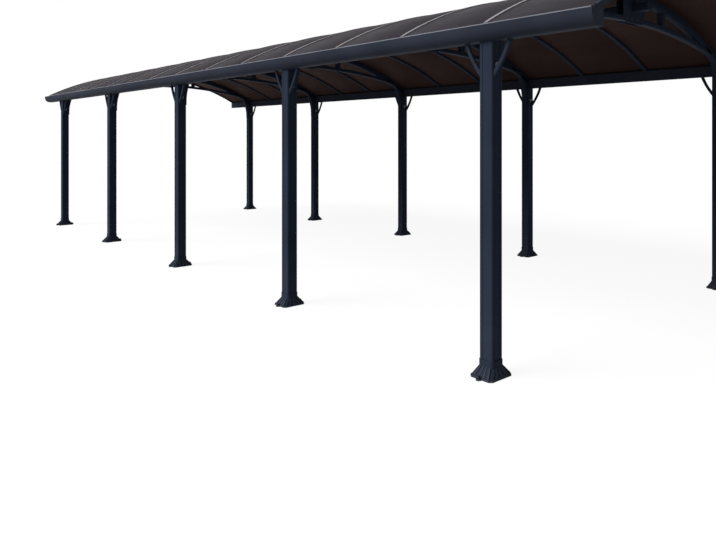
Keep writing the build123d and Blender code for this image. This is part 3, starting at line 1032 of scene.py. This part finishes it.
def gutter_brace():
    bm = bmesh.new()
    side = post_side / 2
    low = eave - BRACE_DROP
    reach = side + BRACE_REACH
    bowed(bm, (side, 0, low + BRACE_FOOT), (reach - BRACE_HEAD, 0, eave), -BRACE_BOW)
    bowed(bm, (side, 0, low), (reach, 0, eave), -BRACE_BOW)
    ends = loose_ends(bm)
    bm.edges.new(ends[:2])
    bm.edges.new(ends[2:])
    close_outline(bm, BRACE_DEPTH, (0, 1, 0))
    return bm


brace_y = -(row + post_side / 2 - BRACE_INSET - BRACE_DEPTH / 2)
brace_moves = [
    Matrix.Translation((place, brace_y, 0)) @ turn
    for place in post_places
    for turn in (Matrix(), MIRROR_ALONG)
]
braces = bmesh.new()
add_copies(braces, gutter_brace(), brace_moves)
make_rows("gutter_braces", braces, [post_finish], "frame")

# %% [markdown]
# ## The ridge beam
# A rectangular tube ties the trusses together at the crown, in lengths that stop at the splice plates. Each
# length is a block with softened long edges, placed between the faces of two neighbours.

# %% Model the ridge beam
ridge_low, ridge_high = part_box("ridge_beam")
plate_face = TRUSS_WIDTH / 2 + SPLICE_THICKNESS
starts = [ridge_low.x] + [place + plate_face for place in post_places]
ends = [place - plate_face for place in post_places] + [ridge_high.x]
ridge = bmesh.new()
for start, end in zip(starts, ends):
    tube = bmesh.new()
    block(tube, (start, ridge_low.y, ridge_low.z), (end, ridge_high.y, ridge_high.z))
    long_edges = [edge for edge in tube.edges if abs(edge.verts[0].co.x - edge.verts[1].co.x) > 1e-4]
    round_edges(tube, long_edges, TUBE_CORNER, 3)
    add_copies(ridge, tube)
make_piece("ridge_beam", ridge, [truss_finish], "frame", "ridge_beam")

# %% [markdown]
# ## The roof ribs
# Between two sheets runs an arched bar of H section: a broad flange below, a narrow web between the sheets and
# a cap above. From above only the cap shows, as a thin pale line: its pale tone is a painted highlight of the
# sky it catches. Bar and cap are two pieces, so that the cap can have this paler, painted finish.

# %% Model the ribs and their caps
RIB_WEB, RIB_FLANGE = 0.008, 0.036
RIB_CAP, RIB_CAP_DEPTH, RIB_CAP_CORNER = 0.030, 0.005, 0.0018
RIB_SETBACK, RIB_STEPS = 0.022, 40
SHEETS_A_BAY, RIBS_A_SIDE = 3, 6
# The caps' pale tone is a painted highlight of the sky.
CAP_HIGHLIGHT_TONE = (0.40, 0.38, 0.41)
rib_angle = math.asin((SHEET_HALF_SPAN - RIB_SETBACK) / arch_radius)
seat = arch_radius - PLAY
cover = arch_radius + SHEET_THICKNESS + PLAY
panel_pitch = (post_places[1] - post_places[0]) / SHEETS_A_BAY
rib_steps = range(-RIBS_A_SIDE, RIBS_A_SIDE + 1)
rib_moves = [Matrix.Translation((panel_pitch * step, 0, 0)) for step in rib_steps]

rib_finish = powder_coat("rib_coat", FRAME_TONE)
cap_highlight_finish = powder_coat("rib_cap_painted_highlight_coat", CAP_HIGHLIGHT_TONE, roughness=0.55)

flange, stem = RIB_FLANGE / 2, RIB_WEB / 2
right_half = [(flange, rib_underside), (flange, seat), (stem, seat), (stem, cover)]
left_half = [(-x, radius) for x, radius in reversed(right_half)]
bar = bmesh.new()
outline_section(bar, right_half + left_half, arch_centre)
swing(bar, arch_centre, -rib_angle, rib_angle, RIB_STEPS)
ribs = bmesh.new()
add_copies(ribs, bar, rib_moves)
make_piece("roof_ribs", ribs, [rib_finish], "rib", "roof_ribs")

cap = bmesh.new()
bar_section(cap, RIB_CAP, RIB_CAP_DEPTH, cover + RIB_CAP_DEPTH, arch_centre, RIB_CAP_CORNER)
swing(cap, arch_centre, -rib_angle, rib_angle, RIB_STEPS)
rib_caps = bmesh.new()
add_copies(rib_caps, cap, rib_moves)
make_piece("roof_rib_caps", rib_caps, [cap_highlight_finish], "rib")

# %% [markdown]
# ## The end bars
# The free edges of the first and the last sheet are held in a bar of C section, which closes the roof at the
# two ends. Its outline isn't symmetrical, so it is drawn point by point, spun, and mirrored for the left end.

# %% Model the end bars
end_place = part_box("right_end_bar")[1].x - stem
bar_outline = [
    (-flange, rib_underside),
    (stem, rib_underside),
    (stem, cover + RIB_CAP_DEPTH),
    (-RIB_CAP / 2, cover + RIB_CAP_DEPTH),
    (-RIB_CAP / 2, cover),
    (-stem, cover),
    (-stem, seat),
    (-flange, seat),
]
right_bar = bmesh.new()
outline_section(right_bar, bar_outline, arch_centre)
swing(right_bar, arch_centre, -rib_angle, rib_angle, RIB_STEPS)
bmesh.ops.translate(right_bar, vec=(end_place, 0, 0), verts=right_bar.verts)
left_bar = right_bar.copy()
bmesh.ops.transform(left_bar, matrix=MIRROR_ALONG, verts=left_bar.verts)
make_piece("right_end_bar", right_bar, [rib_finish], "rib", "right_end_bar")
make_piece("left_end_bar", left_bar, [rib_finish], "rib", "left_end_bar")

# %% [markdown]
# ## The roof sheets
# The sheets are twin-wall polycarbonate in a bronze tint. Fine flutes run over the arch, the top is dulled by a
# film of dust, and the underside is a lighter, warmer brown: a painted glow of the light that comes through the
# tinted sheet. A wave along the carport makes the flutes and two noises give the film and the tint. One recipe
# makes both faces, with a different gloss and tone for each.

# %% Mix the bronze sheet
TOP_TONES = (0.029, 0.025, 0.032), (0.042, 0.036, 0.045)
# The underside's tones are lighter and warmer than the top's: a painted glow of light through the sheet.
UNDERSIDE_GLOW_TONES = (0.044, 0.025, 0.021), (0.068, 0.039, 0.033)
SHEET_SPECULAR = 0.02
TINT_SCALE, FILM_SCALE, FLUTE_SCALE = 1.3, 5.0, 28.5
FILM_STRETCH = (0.4, 1, 1)
FLUTE_SHADE, FLUTE_STRENGTH, FLUTE_DEPTH = (0.8, 0.8, 0.8), 0.15, 0.0006


def bronze_sheet(name, dark, light, smooth, rough):
    """Tinted sheet with flutes; its roughness wanders between smooth and rough."""
    finish = bpy.data.materials.new(name)
    finish.use_nodes = True
    nodes, links = finish.node_tree.nodes, finish.node_tree.links
    sheet = nodes["Principled BSDF"]
    sheet.inputs["Specular IOR Level"].default_value = SHEET_SPECULAR
    tint = ramp(nodes, links, noise(nodes, links, TINT_SCALE, 4.0), dark, light)
    where = nodes.new("ShaderNodeTexCoord")
    flutes = nodes.new("ShaderNodeTexWave")
    flutes.wave_type = "BANDS"
    flutes.bands_direction = "X"
    flutes.inputs["Scale"].default_value = FLUTE_SCALE
    links.new(where.outputs["Object"], flutes.inputs["Vector"])
    shade = nodes.new("ShaderNodeMix")
    shade.data_type = "RGBA"
    shade.blend_type = "MULTIPLY"
    shade.inputs["Factor"].default_value = 1.0
    links.new(tint, shade.inputs["A"])
    lines = ramp(nodes, links, flutes.outputs["Fac"], FLUTE_SHADE, (1, 1, 1))
    links.new(lines, shade.inputs["B"])
    links.new(shade.outputs["Result"], sheet.inputs["Base Color"])
    film = noise(nodes, links, FILM_SCALE, 6.0, FILM_STRETCH)
    links.new(span(nodes, links, film, smooth, rough), sheet.inputs["Roughness"])
    bump = nodes.new("ShaderNodeBump")
    bump.inputs["Strength"].default_value = FLUTE_STRENGTH
    bump.inputs["Distance"].default_value = FLUTE_DEPTH
    links.new(flutes.outputs["Fac"], bump.inputs["Height"])
    links.new(bump.outputs["Normal"], sheet.inputs["Normal"])
    return finish


sheet_top = bronze_sheet("bronze_sheet_top", *TOP_TONES, smooth=0.45, rough=0.65)
sheet_under = bronze_sheet("bronze_sheet_underside_glow", *UNDERSIDE_GLOW_TONES, smooth=0.55, rough=0.75)
print("finishes:", sheet_top.name, sheet_under.name)

# %% [markdown]
# A sheet is a thin rectangle swung over the arch. Its faces that look down take the finish of the underside,
# with its painted glow.

# %% Model the sheets
SHEETS = 14
SHEET_STEPS, SHEET_EDGE = 48, 0.001
sheet_width = sheet_high.x - sheet_low.x
for number in range(1, SHEETS + 1):
    name = f"roof_panel_{number:02d}"
    low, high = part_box(name)
    bm = bmesh.new()
    bar_section(bm, sheet_width, SHEET_THICKNESS, arch_radius + SHEET_THICKNESS, arch_centre, SHEET_EDGE)
    swing(bm, arch_centre, -sheet_angle, sheet_angle, SHEET_STEPS)
    bmesh.ops.translate(bm, vec=((low.x + high.x) / 2, 0, 0), verts=bm.verts)
    bmesh.ops.recalc_face_normals(bm, faces=bm.faces)
    for face in bm.faces:
        face.material_index = int(face.normal.z < 0)
    make_piece(name, bm, [sheet_top, sheet_under], "sheet", name)
